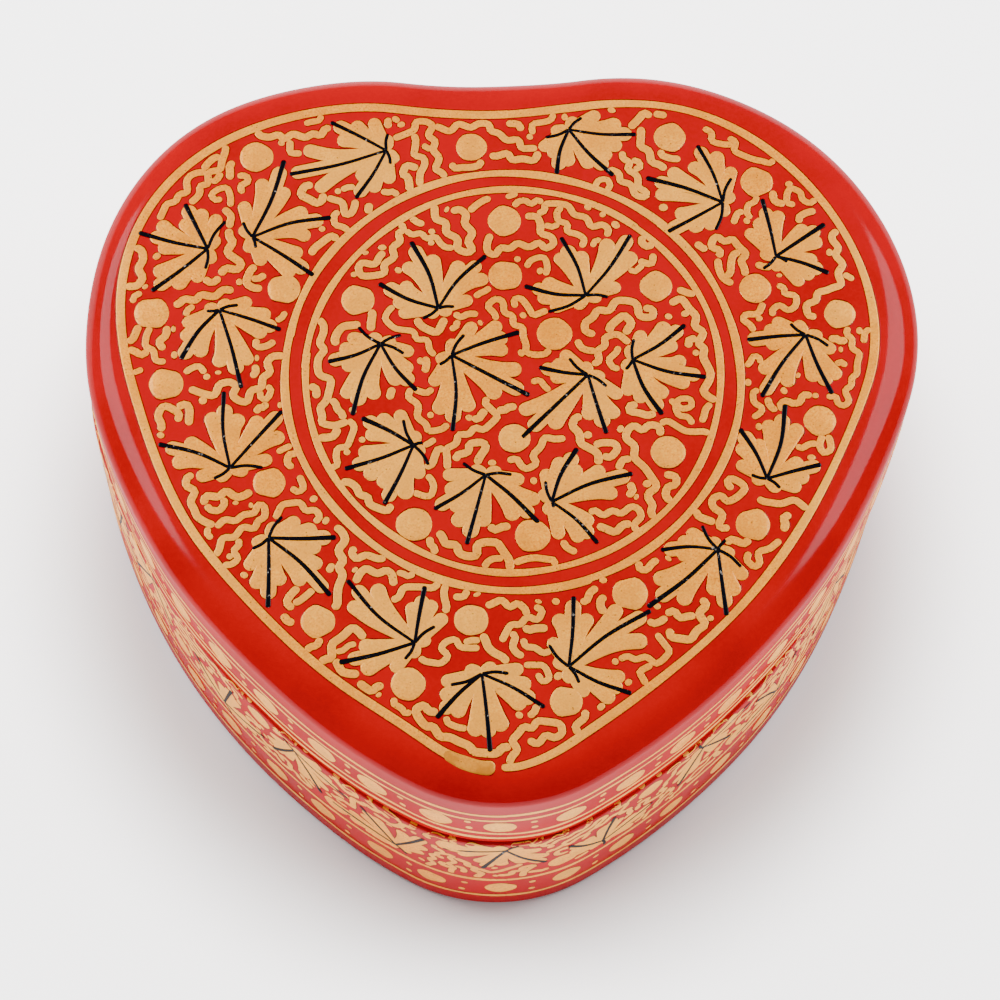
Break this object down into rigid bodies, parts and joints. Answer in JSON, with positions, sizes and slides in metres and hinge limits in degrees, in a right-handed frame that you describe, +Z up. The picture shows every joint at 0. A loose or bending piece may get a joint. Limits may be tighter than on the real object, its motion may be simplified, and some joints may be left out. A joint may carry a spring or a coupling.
{
  "type": "wind-up music box",
  "caption": "Heart-shaped lacquered box with a hinged lid, a lined compartment and a key-wound musical movement under a clear cover.",
  "frame": {"origin": "centre of the bounding box, on the surface the box stands on", "axes": "+Z up, +X to the right seen from the heart's point, +Y towards the hinges at the lobes"},
  "size_m": [0.13, 0.125, 0.0567],
  "materials": {
    "lacquer_red": "red lacquer with painted gold leaves, clear-coated papier-mache",
    "lacquer_dark": "dark red lacquer on the inner rim",
    "wood": "plain pale wood",
    "velvet": "dark red cotton velvet",
    "clear": "clear acrylic sheet",
    "brass": "brushed brass",
    "steel": "bright steel",
    "spring_steel": "blued spring steel",
    "zinc": "die-cast zinc, plated",
    "lead": "dull solder and lead"
  },
  "bodies": {
    "box": {"base_shell": "lacquer_red", "floor_ledge": "wood", "floor_panel": "wood", "inner_collar": "lacquer_dark", "partition": "lacquer_dark", "cover_ledge": "wood", "clear_cover": "clear", "cover_screws": "brass", "floor_pad": "velvet", "wall_lining": "velvet", "hinge_base_leaf_left": "brass", "hinge_base_leaf_right": "brass", "hinge_pin_left": "brass", "hinge_pin_right": "brass", "hinge_base_nails": "brass", "bedplate": "zinc", "comb": "steel", "comb_screws": "brass", "comb_weights": "lead", "spring_housing": "zinc", "mainspring": "spring_steel", "governor_bracket": "zinc", "governor_cap": "brass", "governor_screws": "brass", "movement_screws": "steel", "key_escutcheon": "brass", "stop_guide": "brass", "stop_spring": "spring_steel"},
    "lid": {"lid_shell": "lacquer_red", "lid_lining": "velvet", "lid_peg": "wood", "hinge_lid_leaf_left": "brass", "hinge_lid_leaf_right": "brass", "hinge_lid_nails": "brass"},
    "stop": {"stop_rod": "steel"},
    "cylinder": {"cylinder_tube": "brass", "cylinder_discs": "brass", "cylinder_pins": "steel", "cylinder_arbor": "steel", "cylinder_pinion": "brass", "cylinder_gear": "brass"},
    "great": {"great_wheel": "brass", "click_spring": "spring_steel"},
    "winder": {"winding_arbor": "steel", "ratchet_wheel": "brass", "winding_key": "brass"},
    "governor": {"governor_arbor": "steel", "governor_pinion": "brass", "worm_wheel": "brass"},
    "fly": {"fly_shaft": "steel", "worm": "steel", "fan": "brass"}
  },
  "joints": [
    {"name": "lid_hinge", "type": "hinge", "parent": "box", "child": "lid", "pos_m": [0, 0.06099, 0.03465], "axis": [-1, 0, 0], "range_deg": [0, 100]},
    {"name": "stop_slide", "type": "slide", "parent": "box", "child": "stop", "axis": [0, 0, 1], "range_m": [0, 0.002], "deforming": ["stop_spring"]},
    {"name": "cylinder_spin", "type": "hinge", "parent": "box", "child": "cylinder", "pos_m": [0, 0.03339, 0.024], "axis": [1, 0, 0], "continuous": true},
    {"name": "great_spin", "type": "hinge", "parent": "box", "child": "great", "pos_m": [-0.015, 0.03339, 0.028], "axis": [0, 0, 1], "continuous": true},
    {"name": "winding", "type": "hinge", "parent": "great", "child": "winder", "pos_m": [-0.015, 0.03339, 0.02], "axis": [0, 0, 1], "continuous": true},
    {"name": "governor_spin", "type": "hinge", "parent": "box", "child": "governor", "pos_m": [0.01995, 0.04101, 0.02123], "axis": [1, 0, 0], "continuous": true},
    {"name": "fly_spin", "type": "hinge", "parent": "box", "child": "fly", "pos_m": [0.01995, 0.04561, 0.02123], "axis": [0, 0, 1], "continuous": true}
  ],
  "couplings": [
    {"joint": "stop_slide", "follows": "lid_hinge", "m_per_rad": 0.0011459},
    {"joint": "great_spin", "follows": "cylinder_spin", "ratio": -0.27778},
    {"joint": "governor_spin", "follows": "cylinder_spin", "ratio": -4},
    {"joint": "fly_spin", "follows": "cylinder_spin", "ratio": 72}
  ]
}
